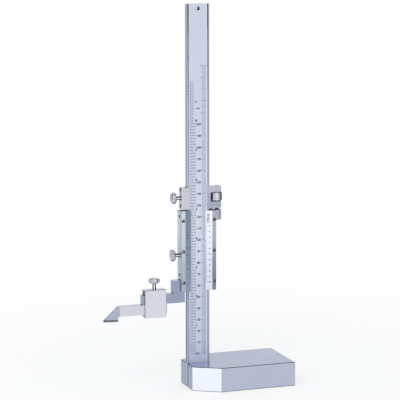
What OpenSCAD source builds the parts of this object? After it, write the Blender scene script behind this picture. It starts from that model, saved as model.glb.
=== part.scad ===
// Vernier height gauge for 0 to 200 mm with a carbide-tipped scriber.
// Millimetres, +Z up. The origin is the centre of the base's underside.
// The mast stands in the base's -X end, the scales face -Y,
// and the scriber reaches out along -X.

/* [Base] */
// Length of the base along X
base_l = 90; // [70:1:120]
// Width of the base along Y
base_w = 56.5; // [46:0.5:80]
// Height of the base
base_h = 21.25; // [20:0.25:22]
// Width of the narrow end that holds the mast
base_end_w = 30; // [26:1:40]
// Length of the two slanted sides
base_slant_l = 21.8; // [19:0.2:30]
// Bevel on the edges of the base
base_bevel = 0.5; // [0.2:0.1:1]
// Width of the relief groove beside the mast in the base's narrow end
end_groove = 1.2; // [0.6:0.1:2]

/* [Mast] */
// Width of the mast along X
mast_w = 20; // [16:0.5:24]
// Thickness of the mast along Y
mast_t = 5.5; // [4:0.25:7]
// Height of the mast's top above the underside of the base
mast_top = 331.8; // [325:0.1:360]
// Height of the mast's foot above the underside of the base
mast_foot = 0.8; // [0.4:0.1:2]
// Width of the polished rim on each side of the scale face
rim_w = 1.6; // [1:0.1:3]
// Width of the slope between a rim and the scale face
rim_slope_w = 0.7; // [0.3:0.1:1.2]
// Depth of the scale face below the rims
face_depth = 0.3; // [0.1:0.05:0.6]
// Diameter of the hole near the mast's top
top_hole_d = 2.8; // [2:0.1:5]
// Distance of that hole from the mast's top
top_hole_drop = 4; // [3.5:0.1:8]

/* [Mast screws] */
// Diameter of the two screws that hold the mast
mast_screw_d = 4; // [3:0.5:5]
// Height of their heads
mast_screw_head_h = 4; // [3:0.5:5]
// Distance between their axes
mast_screw_pitch = 9.4; // [8.5:0.1:10]
// Distance from the mast's back to the seat of their heads
mast_screw_seat = 7; // [5:0.5:9]
// Depth to which they reach in front of the mast
mast_screw_reach = 9; // [6:0.5:11]
// Depth of their tapped holes past their ends
tap_past = 1; // [0.5:0.1:2]

/* [Reading] */
// Height that the gauge shows at rest: the scriber's tip above the underside
reading = 63; // [0:1:190]
// Range of the scale
scale_range = 200; // [200:10:250]

/* [Slider] */
// Running clearance of every piece that slides on a flat face
run_gap = 0.05; // [0.02:0.01:0.1]
// Distance from the scriber's tip up to the slider's lower end
slider_rise = 22.5; // [22:0.1:26]
// Height of the slider
slider_h = 69.5; // [68:0.5:90]
// Thickness of the slider's side walls
slider_wall = 5.35; // [4.6:0.05:7]
// Thickness of the slider's back wall
slider_back_t = 3.2; // [1.2:0.1:4]
// Thickness of the gib strips
gib_t = 0.8; // [0.5:0.1:1.2]
// Distance of the slider's gib strip from the slider's ends
slider_gib_in = 2; // [0.5:0.1:4]

/* [Vernier plates] */
// Width of each vernier plate
plate_w = 9.2; // [8.5:0.1:10]
// Thickness of the vernier plates
plate_t = 2.4; // [1.6:0.1:4]
// Width of the flat part that takes the screws
plate_flat_w = 3.6; // [3.3:0.1:4.5]
// Thickness of the thin edge beside the scale
plate_edge_t = 0.35; // [0.2:0.05:0.8]
// Height of the millimetre plate
metric_plate_h = 69.1; // [68:0.1:69.5]
// Height of the inch plate
inch_plate_h = 70.1; // [68:0.1:70.4]
// Distance between the plate screws
plate_screw_pitch = 27; // [20:0.5:30]
// Head diameter of the plate screws
plate_screw_head_d = 3; // [2.4:0.1:3.2]
// Head height of the plate screws
plate_screw_head_h = 1; // [0.6:0.1:1.6]
// Shank diameter of the plate screws
plate_screw_d = 1.6; // [1.2:0.1:2]
// Depth of the plate screws in the slider
plate_screw_depth = 3.6; // [3:0.1:4]
// Width of the plate screws' slots
plate_slot_w = 0.5; // [0.3:0.05:0.7]

/* [Jaw] */
// Thickness of the jaw along Y
jaw_t = 6.6; // [5:0.1:7.4]
// Height of the jaw's arm
arm_h = 8.3; // [7:0.1:9]
// Reach of the arm from the slider's side
arm_l = 34.4; // [30:0.2:44]
// Width of the upright leg beside the slider
leg_out = 6.9; // [5:0.1:9]
// Height of the leg above the slider's lower end
leg_rise = 9.7; // [8:0.1:16]
// Space between the jaw and the mast
jaw_mast_gap = 2.5; // [1:0.1:4]
// Diameter of the relief notches in the jaw's corners
relief_d = 1; // [0.6:0.1:1.4]

/* [Fine adjustment] */
// Distance of the adjusting screw from the slider's side
fine_screw_out = 2.4; // [1:0.1:3]
// Diameter of the adjusting screw
fine_screw_d = 3.6; // [3:0.1:4]
// Height of the lug that holds the adjusting screw
lug_h = 8.8; // [6:0.2:14]
// Radius of the lug's round end
lug_r = 3.6; // [3:0.1:3.9]
// Diameter of the pin through the lug
lug_pin_d = 1.2; // [0.8:0.1:1.6]
// Depth of the pin's end below the lug's side
lug_pin_sink = 0.2; // [0.1:0.05:0.4]
// Space between the slider and the clamp block
clamp_gap = 1.7; // [1.5:0.1:4]
// Height of the clamp block
clamp_h = 18.7; // [17:0.1:24]
// Height of the nut's middle above the clamp block's lower end
nut_rise = 9.7; // [9.3:0.1:11]
// Thickness of the clamp block's left wall
clamp_wall = 4.45; // [4.4:0.05:7]
// Thickness of the lips in front of the mast
clamp_lip_t = 1.3; // [0.8:0.1:2]
// Distance that the lips reach in over the mast
clamp_lip_w = 2.1; // [1.2:0.1:3]
// Thickness of the clamp block's back
clamp_back_t = 0.9; // [0.7:0.1:2]
// Distance of the clamp block's right end from the adjusting screw's axis
clamp_end_out = 2.6; // [2.4:0.1:4]
// Radius of the corners at that end
clamp_end_r = 1; // [0.4:0.1:2]
// Height of the window for the nut
window_h = 8.2; // [6:0.1:9]
// Thickness of the wall between the mast and the window
window_wall = 0.85; // [0.6:0.05:1.5]
// Thickness of the wall that closes the window's left part at the back
window_back_t = 0.8; // [0.5:0.1:0.8]
// Radius of the window's round corners
window_r = 0.8; // [0.4:0.1:1.5]
// Distance of the clamp block's gib strip from the block's ends
clamp_gib_in = 0.5; // [0.3:0.1:2]
// Depth of the adjusting screw's top below the clamp block's top
fine_screw_sink = 1.6; // [0.5:0.1:3]
// Diameter of the adjusting nut
nut_d = 8.6; // [8:0.1:9.6]
// Number of ridges round the nut
nut_ridges = 30; // [20:1:40]
// Depth of the grooves between them
ridge_depth = 0.22; // [0.1:0.02:0.3]
// Depth of the plain ends below the ridges
nut_end_drop = 0.35; // [0.32:0.01:0.6]
// Bevel on the nut's ends
nut_bevel = 0.6; // [0.3:0.1:1]

/* [Lock screws] */
// Diameter of the lock screws' shafts
lock_d = 3; // [2.4:0.1:3.4]
// Diameter of the lock screws' knobs
knob_d = 10.2; // [8:0.2:12]
// Thickness of the knobs
knob_h = 4.4; // [3.4:0.1:6]
// Number of hollows round a knob
knob_hollows = 7; // [5:1:12]
// Distance of the hollows' centres outside the knob
hollow_out = 0.9; // [0.7:0.1:1.3]
// Length of bare shaft between a knob and the wall
lock_bare = 4; // [3:0.1:6]
// Further bare length on the scriber clamp's lock screw
scriber_lock_more = 1.1; // [0:0.1:3]
// Thickness of the pad under each lock screw
pad_t = 1.2; // [0.8:0.1:1.6]
// Height of the slider's lock screw above the slider's lower end
slider_lock_rise = 31.3; // [28:0.1:40]

/* [Gib screws] */
// Diameter of the gib screws
gib_screw_d = 2.5; // [2:0.1:3]
// Depth of their outer ends below the wall
gib_screw_sink = 0.6; // [0.3:0.1:1]
// Width of their slots
gib_slot_w = 0.4; // [0.3:0.05:0.6]
// Depth of their slots
gib_slot_depth = 0.7; // [0.4:0.1:1]
// Distance of the slider's gib screws from its ends
slider_gib_screw_in = 4.4; // [4:0.1:6]
// Half the distance between the clamp block's gib screws
clamp_gib_screw_half = 7; // [5:0.1:7.5]

/* [Scriber clamp] */
// Width of the scriber clamp along X
box_w = 18.8; // [16:0.2:24]
// Thickness of the walls at its front and back
box_wall = 1.15; // [0.8:0.05:2]
// Thickness of its floor
box_floor = 3; // [2:0.1:3.4]
// Thickness of its top
box_top_t = 1.4; // [1:0.1:3]
// Space above the arm for the pressure shoe
shoe_room = 3; // [2.6:0.1:5]
// Distance that the arm reaches out past the clamp
arm_past = 2.1; // [0.5:0.1:6]
// Bevel on the edges of the clamp
box_bevel = 0.2; // [0.2:0.1:0.8]
// Thickness of the pressure shoe
shoe_t = 0.8; // [0.5:0.1:1.2]
// Height of the shoe's turned-up ends
shoe_end_h = 1.9; // [1.2:0.1:2]
// Width of the slopes beside those ends
shoe_slope_w = 1.6; // [1:0.1:2.4]

/* [Scriber] */
// Height of the scriber bar
bar_h = 8.4; // [7:0.1:9.5]
// Distance that the bar's tail shows past the clamp
bar_tail = 1.1; // [0:0.1:6]
// Distance from the clamp to the start of the nose
bar_free = 22.6; // [12:0.2:30]
// Length of the sloping nose
nose_l = 13.3; // [10:0.1:18]
// Depth of the nose below the bar
nose_drop = 4.3; // [3.5:0.1:6]
// Distance from the start of the nose to its step
nose_step = 1.5; // [0.5:0.1:3]
// Distance that the nose's front face is ground back at the tip
nose_taper = 1.9; // [0:0.1:3]
// Thickness of the carbide plate
carbide_t = 1.8; // [1:0.1:2.6]
// Height of the blunt end of the carbide plate
tip_land = 0.3; // [0.1:0.05:0.6]

/* [Hidden] */

$fn = 48;
// Extra depth of a cut past the face that it opens
over = 1;
// Clearance round a shaft in its bore, and of the mast in its slot
fit_gap = 0.05;
// Cut corners of the mast, the slider and the clamp block
edge_cut = 0.3;

steel = [0.78, 0.79, 0.81];
satin = [0.70, 0.72, 0.75];
polished = [0.86, 0.87, 0.89];
dark_steel = [0.24, 0.23, 0.22];
bronze = [0.66, 0.45, 0.30];
carbide = [0.36, 0.39, 0.44];

// The mast and everything on it are drawn round the mast's own centre line
mast_x = -base_l / 2 + mast_w / 2;
mast_side = mast_w / 2 + run_gap;
mast_face = mast_t / 2 + run_gap;

mast_screw_x = base_slant_l / 2 - mast_w / 2;
mast_screw_head_d = 1.75 * mast_screw_d;
mast_screw_y = mast_t / 2 + mast_screw_seat;

slider_z = reading + slider_rise;
slider_top = slider_z + slider_h;
slider_left = mast_side + gib_t + slider_wall;
slider_right = mast_side + slider_wall;
slider_back = mast_face + slider_back_t;
plate_front = mast_face + plate_t;
plate_screw_z = slider_z + slider_h / 2;
plate_screw_in = plate_flat_w / 2;
plate_screw_l = plate_t + plate_screw_depth;

bar_z = reading + nose_drop;
bar_top = bar_z + bar_h;
arm_z = bar_top + run_gap;
arm_top = arm_z + arm_h;
arm_end = slider_left + arm_l;
leg_left = slider_left + leg_out;
leg_top = slider_z + leg_rise;
jaw_right = mast_w / 2 + jaw_mast_gap;
jaw_mid = jaw_t / 2 - mast_face;

fine_x = slider_right + fine_screw_out;
fine_y = (clamp_back_t - clamp_lip_t) / 2;
clamp_z = slider_top + clamp_gap;
clamp_mid = clamp_z + nut_rise;
clamp_left = mast_side + gib_t + clamp_wall;
clamp_front = mast_face + clamp_lip_t;
clamp_back = mast_face + clamp_back_t;
clamp_right = fine_x + clamp_end_out;
lip_edge = mast_w / 2 - clamp_lip_w;
nut_h = window_h - 6 * fit_gap;
fine_screw_top = clamp_z + clamp_h - fine_screw_sink;
fine_hole_d = fine_screw_d + 8 * fit_gap;

// The pads touch the gibs at rest, and each lock screw stands on its pad
pad_x = mast_side + gib_t;

box_right = arm_end - arm_past - box_w;
box_mid = box_right + box_w / 2;
box_z = bar_z - run_gap - box_floor;
box_top = arm_top + shoe_room + box_top_t;
box_in_w = jaw_t + 2 * run_gap;
box_t = box_in_w + 2 * box_wall;
nose_x = box_right + box_w + bar_free;
tip_x = nose_x + nose_l;
step_x = nose_x + nose_step;

module on_mast() {
    translate([mast_x, 0, 0]) children();
}

// A box given by its lowest and highest corners
module span_box(low, high) {
    translate(low) cube(high - low);
}

// A box with every edge bevelled
module bevel_box(low, high, bevel) {
    hull() {
        for (a = [0:2]) {
            inset = [for (b = [0:2]) b == a ? 0 : bevel];
            span_box(low + inset, high - inset);
        }
    }
}

module base_outline(inset) {
    offset(delta = -inset)
        polygon([[-base_l / 2, -base_end_w / 2], [-base_l / 2 + base_slant_l, -base_w / 2],
                 [base_l / 2, -base_w / 2], [base_l / 2, base_w / 2],
                 [-base_l / 2 + base_slant_l, base_w / 2], [-base_l / 2, base_end_w / 2]]);
}

// Runs its children once at the height of each mast screw, with +Z turned to +Y
module at_mast_screws() {
    for (side = [-1, 1])
        translate([mast_screw_x, 0, base_h / 2 + side * mast_screw_pitch / 2])
            rotate([-90, 0, 0]) children();
}

module base() {
    color(steel) difference() {
        hull() {
            translate([0, 0, base_bevel]) linear_extrude(base_h - 2 * base_bevel) base_outline(0);
            linear_extrude(base_h) base_outline(base_bevel);
        }
        on_mast() {
            span_box([-mast_w / 2 - over, -mast_t / 2 - fit_gap, -over],
                     [mast_w / 2 + fit_gap, mast_t / 2 + fit_gap, base_h + over]);
            span_box([-mast_w / 2 - over, -mast_t / 2 - end_groove, -over],
                     [-mast_w / 2 + end_groove, 0, base_h + over]);
            at_mast_screws() {
                translate([0, 0, -mast_t / 2 - mast_screw_reach - tap_past])
                    cylinder(d = mast_screw_d + 2 * fit_gap, h = mast_screw_y + base_w / 2);
                translate([0, 0, mast_screw_y])
                    cylinder(d = mast_screw_head_d + 6 * fit_gap, h = base_w / 2);
            }
        }
    }
}

// Plan of the mast, with the scale face sunk between its two rims
module mast_plan() {
    side = mast_w / 2;
    rim = side - rim_w;
    face = rim - rim_slope_w;
    front = -mast_t / 2;
    polygon([[-side, front + edge_cut], [-side + edge_cut, front], [-rim, front],
             [-face, front + face_depth], [face, front + face_depth],
             [rim, front], [side - edge_cut, front], [side, front + edge_cut],
             [side, -front - edge_cut], [side - edge_cut, -front],
             [-side + edge_cut, -front], [-side, -front - edge_cut]]);
}

module mast() {
    color(satin) on_mast() difference() {
        translate([0, 0, mast_foot]) linear_extrude(mast_top - mast_foot) mast_plan();
        translate([0, 0, mast_top - top_hole_drop]) rotate([90, 0, 0])
            cylinder(d = top_hole_d, h = mast_t + 2 * over, center = true);
        at_mast_screws()
            cylinder(d = mast_screw_d + 2 * fit_gap, h = mast_t + 2 * over, center = true);
    }
}

module mast_screws() {
    color(dark_steel) on_mast() at_mast_screws() difference() {
        union() {
            translate([0, 0, -mast_t / 2 - mast_screw_reach])
                cylinder(d = mast_screw_d, h = mast_screw_reach + mast_t + mast_screw_seat);
            translate([0, 0, mast_screw_y]) cylinder(d = mast_screw_head_d, h = mast_screw_head_h);
        }
        translate([0, 0, mast_screw_y + mast_screw_head_h / 2])
            cylinder(d = 0.85 * mast_screw_d, h = mast_screw_head_h, $fn = 6);
    }
}

// Runs its children at each gib screw of a wall, with +Z turned to the outside, -X
module at_side_holes(heights) {
    for (z = heights) translate([-pad_x, 0, z]) rotate([0, -90, 0]) children();
}

slider_gib_screw_z = [slider_z + slider_gib_screw_in + leg_rise, slider_top - slider_gib_screw_in];
clamp_gib_screw_z = [clamp_mid - clamp_gib_screw_half, clamp_mid + clamp_gib_screw_half];
slider_lock_z = slider_z + slider_lock_rise;

// Bores through a left wall for the gib screws and the lock screw
module wall_bores(wall, screw_heights, lock_height) {
    at_side_holes(screw_heights)
        translate([0, 0, -over]) cylinder(d = gib_screw_d + 2 * fit_gap, h = wall + 2 * over);
    at_side_holes([lock_height])
        translate([0, 0, -over]) cylinder(d = lock_d + 2 * fit_gap, h = wall + 2 * over);
}

module slider_plan() {
    polygon([[-slider_left, -mast_face], [-slider_left, slider_back - edge_cut],
             [-slider_left + edge_cut, slider_back], [slider_right - edge_cut, slider_back],
             [slider_right, slider_back - edge_cut], [slider_right, -mast_face],
             [mast_side, -mast_face], [mast_side, mast_face],
             [-pad_x, mast_face], [-pad_x, -mast_face]]);
}

// The jaw's leg and arm, seen from the front, with relief notches in its inner corners
module jaw_face() {
    difference() {
        polygon([[-arm_end, arm_z], [-jaw_right, arm_z], [-jaw_right, leg_top], [-leg_left, leg_top],
                 [-leg_left, arm_top], [-arm_end, arm_top]]);
        translate([-leg_left, arm_top]) circle(d = relief_d);
    }
}

// The ear that carries the adjusting screw, with a round end about the screw's axis
module lug() {
    low = slider_top - lug_h;
    difference() {
        translate([fine_x, fine_y, low]) {
            translate([0, 0, edge_cut]) cylinder(r = lug_r, h = lug_h - 2 * edge_cut);
            cylinder(r1 = lug_r - edge_cut, r2 = lug_r, h = edge_cut);
            translate([0, 0, lug_h - edge_cut]) cylinder(r1 = lug_r, r2 = lug_r - edge_cut, h = edge_cut);
        }
        span_box([0, -plate_front - over, low - over],
                 [slider_right + fit_gap, -mast_face, slider_top + over]);
    }
    span_box([slider_right - over, -mast_face, low], [fine_x, fine_y + lug_r, slider_top]);
    span_box([slider_right + fit_gap, fine_y - lug_r, low], [fine_x, 0, slider_top]);
}

// Runs its children at the three screws of a vernier plate, with +Z turned to the front, -Y
module at_plate_screws(x) {
    for (i = [-1:1])
        translate([x, -plate_front, plate_screw_z + i * plate_screw_pitch])
            rotate([90, 0, 0]) rotate([0, 0, 40 + 25 * i]) children();
}

module slider_frame() {
    color(steel) on_mast() difference() {
        union() {
            translate([0, 0, slider_z]) linear_extrude(slider_h) slider_plan();
            translate([0, jaw_t - mast_face, 0]) rotate([90, 0, 0]) linear_extrude(jaw_t) jaw_face();
            lug();
        }
        wall_bores(slider_wall, slider_gib_screw_z, slider_lock_z);
        translate([-slider_left, 0, leg_top]) rotate([90, 0, 0])
            cylinder(d = relief_d, h = 2 * slider_back + 2 * over, center = true);
        for (x = [-slider_left + plate_screw_in, slider_right - plate_screw_in])
            at_plate_screws(x)
                translate([0, 0, -plate_screw_l]) cylinder(d = plate_screw_d + 2 * fit_gap, h = plate_screw_l);
        translate([fine_x, fine_y, slider_top - lug_h - over])
            cylinder(d = fine_screw_d + 2 * fit_gap, h = lug_h + 2 * over);
        lug_pin(lug_pin_d + 2 * fit_gap, over);
    }
}

// The pin lies along X through the lug and into the adjusting screw
module lug_pin(d, past) {
    translate([fine_x, fine_y, slider_top - lug_h / 2]) rotate([0, 90, 0])
        cylinder(d = d, h = lug_r + past);
}

// Plan of a vernier plate: flat where the screws are, then sloping down to the thin edge.
// The outer side is at x = 0 and the thin edge at x = plate_w.
module plate_plan() {
    polygon([[0, -mast_face], [0, -plate_front + edge_cut / 2], [edge_cut / 2, -plate_front],
             [plate_flat_w, -plate_front], [plate_w, -mast_face - plate_edge_t], [plate_w, -mast_face]]);
}

module vernier_plate(h, screw_x) {
    difference() {
        translate([0, 0, slider_z]) children();
        at_plate_screws(screw_x)
            translate([0, 0, -plate_t - over]) cylinder(d = plate_screw_d + 4 * fit_gap, h = plate_t + 2 * over);
    }
}

module metric_plate() {
    color(polished) on_mast() vernier_plate(metric_plate_h, slider_right - plate_screw_in)
        linear_extrude(metric_plate_h) translate([slider_right, 0]) mirror([1, 0]) plate_plan();
}

module inch_plate() {
    color(polished) on_mast() vernier_plate(inch_plate_h, -slider_left + plate_screw_in)
        linear_extrude(inch_plate_h) translate([-slider_left, 0]) plate_plan();
}

module plate_screws(x) {
    at_plate_screws(x) difference() {
        union() {
            cylinder(d = plate_screw_head_d, h = plate_screw_head_h);
            translate([0, 0, -plate_screw_l]) cylinder(d = plate_screw_d, h = plate_screw_l + over / 2);
        }
        span_box([-plate_screw_head_d, -plate_slot_w / 2, plate_screw_head_h / 2],
                 [plate_screw_head_d, plate_slot_w / 2, plate_screw_head_h + over]);
    }
}

module metric_plate_screws() {
    color(dark_steel) on_mast() plate_screws(slider_right - plate_screw_in);
}

module inch_plate_screws() {
    color(dark_steel) on_mast() plate_screws(-slider_left + plate_screw_in);
}

// A gib strip lies flat against the left wall, beside the mast
module gib(low, high) {
    span_box([-pad_x, -mast_face + fit_gap, low], [-mast_side, mast_face - fit_gap, high]);
}

module slider_gib() {
    color(bronze) on_mast() gib(slider_z + slider_gib_in, slider_top - slider_gib_in);
}

module clamp_gib() {
    color(bronze) on_mast() gib(clamp_z + clamp_gib_in, clamp_z + clamp_h - clamp_gib_in);
}

module gib_screws(wall, heights) {
    length = wall - gib_screw_sink;
    at_side_holes(heights) difference() {
        cylinder(d = gib_screw_d, h = length);
        span_box([-gib_screw_d, -gib_slot_w / 2, length - gib_slot_depth],
                 [gib_screw_d, gib_slot_w / 2, length + over]);
    }
}

module slider_gib_screws() {
    color(dark_steel) on_mast() gib_screws(slider_wall, slider_gib_screw_z);
}

module clamp_gib_screws() {
    color(dark_steel) on_mast() gib_screws(clamp_wall, clamp_gib_screw_z);
}

module lock_pad() {
    cylinder(d = lock_d - 2 * fit_gap, h = pad_t);
}

// A lock screw with its tip at z = 0 and its knob on top
module lock_screw(shaft) {
    r = knob_d / 2;
    round = 2 * edge_cut;
    rim = 0.86 * knob_h;
    difference() {
        rotate_extrude() polygon([[0, 0], [lock_d / 2 - edge_cut, 0], [lock_d / 2, edge_cut],
                                  [lock_d / 2, shaft], [r - round, shaft], [r, shaft + round],
                                  [r, shaft + rim - edge_cut], [r - edge_cut, shaft + rim],
                                  [0.8 * r, shaft + 0.94 * knob_h], [0, shaft + knob_h]]);
        for (i = [0:knob_hollows - 1])
            rotate([0, 0, i * 360 / knob_hollows]) translate([r + hollow_out, 0, shaft - over])
                cylinder(r = 0.37 * r, h = knob_h + 2 * over, $fn = 32);
    }
}

module slider_lock_pad() {
    color(bronze) on_mast() at_side_holes([slider_lock_z]) lock_pad();
}

module slider_lock_screw() {
    color(polished) on_mast() at_side_holes([slider_lock_z])
        translate([0, 0, pad_t]) lock_screw(slider_wall - pad_t + lock_bare);
}

module clamp_lock_pad() {
    color(bronze) on_mast() at_side_holes([clamp_mid]) lock_pad();
}

module clamp_lock_screw() {
    color(polished) on_mast() at_side_holes([clamp_mid])
        translate([0, 0, pad_t]) lock_screw(clamp_wall - pad_t + lock_bare);
}

module fine_screw() {
    low = slider_top - lug_h;
    color(steel) on_mast() difference() {
        translate([fine_x, fine_y, low]) cylinder(d = fine_screw_d, h = fine_screw_top - low);
        lug_pin(lug_pin_d + 2 * fit_gap, over);
    }
}

module fine_screw_pin() {
    color(dark_steel) on_mast() lug_pin(lug_pin_d, -lug_pin_sink);
}

// The opening for the nut: closed towards the mast with round corners, open to the right.
// The back is open only where the nut stands out.
module nut_window() {
    left = mast_side + window_wall;
    r = window_r;
    low = clamp_mid - window_h / 2;
    high = clamp_mid + window_h / 2;
    front = -clamp_front - over;
    closed = clamp_back - window_back_t;
    open_x = fine_x - sqrt(pow(nut_d / 2 + 5 * fit_gap, 2) - pow(closed - fine_y, 2));
    span_box([left + r, front, low], [clamp_right + over, closed, high]);
    span_box([open_x, 0, low], [clamp_right + over, clamp_back + over, high]);
    span_box([left, front, low + r], [left + 2 * r, closed, high - r]);
    for (z = [low + r, high - r])
        translate([left + r, closed, z]) rotate([90, 0, 0]) cylinder(r = r, h = closed - front);
}

// Plan of the clamp block, with round corners at its right end
module clamp_plan() {
    r = clamp_end_r;
    turns = [for (i = [0:6]) [sin(15 * i), cos(15 * i)]];
    polygon(concat(
        [[-clamp_left, clamp_back - edge_cut], [-clamp_left, -clamp_front + edge_cut],
         [-clamp_left + edge_cut, -clamp_front]],
        [for (t = turns) [clamp_right - r + r * t[0], -clamp_front + r - r * t[1]]],
        [for (t = turns) [clamp_right - r + r * t[1], clamp_back - r + r * t[0]]],
        [[-clamp_left + edge_cut, clamp_back]]));
}

module clamp_block() {
    color(steel) on_mast() difference() {
        translate([0, 0, clamp_z]) linear_extrude(clamp_h) clamp_plan();
        span_box([-pad_x, -mast_face, clamp_z - over], [mast_side, mast_face, clamp_z + clamp_h + over]);
        span_box([-lip_edge, -clamp_front - over, clamp_z - over], [lip_edge, 0, clamp_z + clamp_h + over]);
        nut_window();
        translate([fine_x, fine_y, clamp_z - over]) cylinder(d = fine_hole_d, h = clamp_h + 2 * over);
        wall_bores(clamp_wall, clamp_gib_screw_z, clamp_mid);
    }
}

// A round nut with bevelled ends and a band of straight ridges between them
module adjusting_nut() {
    r = nut_d / 2;
    core = r - nut_end_drop;
    bevel = nut_bevel;
    band = bevel + nut_end_drop / 3;
    step = 180 / nut_ridges;
    color(polished) on_mast() translate([fine_x, fine_y, clamp_mid - nut_h / 2]) difference() {
        union() {
            translate([0, 0, band]) linear_extrude(nut_h - 2 * band)
                polygon([for (i = [0:2 * nut_ridges - 1])
                    (r - (i % 2 == 0 ? 0 : ridge_depth)) * [cos(i * step), sin(i * step)]]);
            rotate_extrude()
                polygon([[0, 0], [core - bevel, 0], [core, bevel],
                         [core, nut_h - bevel], [core - bevel, nut_h], [0, nut_h]]);
        }
        translate([0, 0, -over]) cylinder(d = fine_screw_d + 2 * fit_gap, h = nut_h + 2 * over);
    }
}

module scriber_box() {
    low = jaw_mid - box_t / 2;
    high = jaw_mid + box_t / 2;
    color(satin) on_mast() difference() {
        bevel_box([-box_right - box_w, low, box_z], [-box_right, high, box_top], box_bevel);
        span_box([-box_right - box_w - over, low + box_wall, box_z + box_floor],
                 [-box_right + over, high - box_wall, box_top - box_top_t]);
        translate([-box_mid, jaw_mid, box_top - box_top_t - over])
            cylinder(d = lock_d + 2 * fit_gap, h = box_top_t + 2 * over);
    }
}

// The bronze shoe lies on the arm, and its two ends turn up under the clamp's top
module pressure_shoe() {
    half = box_w / 2 - box_bevel;
    width = jaw_t - 4 * run_gap;
    color(bronze) on_mast() translate([-box_mid, jaw_mid + width / 2, arm_top + run_gap]) rotate([90, 0, 0])
        linear_extrude(width)
            polygon([[-half, shoe_t], [-half + shoe_slope_w, 0], [half - shoe_slope_w, 0], [half, shoe_t],
                     [half, shoe_end_h], [half - shoe_t, shoe_end_h], [half - shoe_t - shoe_slope_w, shoe_t],
                     [-half + shoe_t + shoe_slope_w, shoe_t], [-half + shoe_t, shoe_end_h], [-half, shoe_end_h]]);
}

module scriber_lock_screw() {
    tip = arm_top + run_gap + shoe_t;
    color(polished) on_mast() translate([-box_mid, jaw_mid, tip])
        lock_screw(box_top - tip + lock_bare + scriber_lock_more);
}

// The nose seen from above, with its front face ground back towards the tip
module nose_plan() {
    front = jaw_mid - jaw_t / 2;
    polygon([[-nose_x, front], [-tip_x, front + nose_taper], [-tip_x, front + jaw_t],
             [-box_right, front + jaw_t], [-box_right, front]]);
}

// Keeps the part of a front outline that lies inside the ground-back plan
module ground_back(low, high) {
    intersection() {
        translate([0, jaw_mid + jaw_t / 2, 0]) rotate([90, 0, 0]) linear_extrude(jaw_t) children();
        translate([0, 0, low]) linear_extrude(high - low) nose_plan();
    }
}

// Height of the nose's sloping top at a distance x from the mast's centre line
function slope_z(x) = bar_top - (x - nose_x) * (bar_top - reading - tip_land) / nose_l;

module scriber_bar() {
    carbide_top = reading + carbide_t;
    cut_x = nose_x + (bar_top - carbide_top) * nose_l / (bar_top - reading - tip_land);
    color(satin) on_mast() {
        ground_back(reading, bar_top + over)
            polygon([[-box_right, bar_z], [-box_right, bar_top], [-nose_x, bar_top],
                     [-cut_x, carbide_top], [-step_x, carbide_top], [-step_x, bar_z]]);
        span_box([-box_right - over, jaw_mid - jaw_t / 2, bar_z], [-box_right + bar_tail, jaw_mid + jaw_t / 2, bar_top]);
    }
}

module carbide_tip() {
    carbide_top = reading + carbide_t;
    cut_x = nose_x + (bar_top - carbide_top) * nose_l / (bar_top - reading - tip_land);
    color(carbide) on_mast() ground_back(reading, carbide_top)
        polygon([[-step_x, reading], [-step_x, carbide_top], [-cut_x, carbide_top],
                 [-tip_x, reading + tip_land], [-tip_x, reading]]);
}

base();
mast();
mast_screws();
slider_frame();
metric_plate();
inch_plate();
metric_plate_screws();
inch_plate_screws();
slider_gib();
slider_gib_screws();
slider_lock_pad();
slider_lock_screw();
fine_screw();
fine_screw_pin();
clamp_block();
clamp_gib();
clamp_gib_screws();
clamp_lock_pad();
clamp_lock_screw();
adjusting_nut();
scriber_box();
pressure_shoe();
scriber_lock_screw();
scriber_bar();
carbide_tip();
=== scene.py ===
"""Looks of a vernier height gauge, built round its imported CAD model."""

import math

import bmesh
import bpy
from mathutils import Euler, Matrix, Vector


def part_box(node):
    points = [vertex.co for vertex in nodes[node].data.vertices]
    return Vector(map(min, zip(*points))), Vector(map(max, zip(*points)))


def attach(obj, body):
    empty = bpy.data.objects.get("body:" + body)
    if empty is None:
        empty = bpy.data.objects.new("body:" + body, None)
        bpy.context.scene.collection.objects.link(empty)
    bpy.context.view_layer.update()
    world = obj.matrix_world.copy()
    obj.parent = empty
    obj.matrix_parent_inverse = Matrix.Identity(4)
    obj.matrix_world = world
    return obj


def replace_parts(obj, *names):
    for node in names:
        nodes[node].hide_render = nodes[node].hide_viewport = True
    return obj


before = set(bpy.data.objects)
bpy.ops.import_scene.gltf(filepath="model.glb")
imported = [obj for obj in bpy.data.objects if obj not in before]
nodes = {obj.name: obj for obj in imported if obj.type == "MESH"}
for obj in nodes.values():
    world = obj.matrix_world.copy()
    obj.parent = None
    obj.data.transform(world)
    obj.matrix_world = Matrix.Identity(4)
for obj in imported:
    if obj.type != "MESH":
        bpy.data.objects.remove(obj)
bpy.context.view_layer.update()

MM = 0.001
INCH = 25.4 * MM

# ---------------------------------------------------------------- sizes

# Scales on the mast. Distances along X are from the mast's centre line, and rises from the scales' zero.
FACE_DEPTH = 0.3 * MM
FACE_HALF_W = 7.7 * MM
VERNIER_ZERO_RISE = 7.0 * MM
MM_RIGHT = 7.15 * MM
MM_LAST = 250
MM_NUMBER_LAST = 200
MM_NUMBER_X = 0.3 * MM
INCH_LEFT = -8.0 * MM
INCH_LAST_FORTIETH = 372
INCH_NUMBER_LAST = 8
INCH_NUMBER_X = -1.75 * MM
TENTH_NUMBER_X = -2.95 * MM
MM_MARK = (0.0, 213.5 * MM)
INCH_MARK = (-1.75 * MM, 219.5 * MM)
MM_NUMBER_H, INCH_NUMBER_H, TENTH_H, UNIT_H = 1.9 * MM, 2.2 * MM, 1.25 * MM, 1.5 * MM
# Lengths of the short, middle and long lines
MM_LINES = (4.0 * MM, 4.5 * MM, 5.0 * MM)
INCH_LINES = (3.6 * MM, 4.0 * MM, 4.6 * MM)

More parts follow.
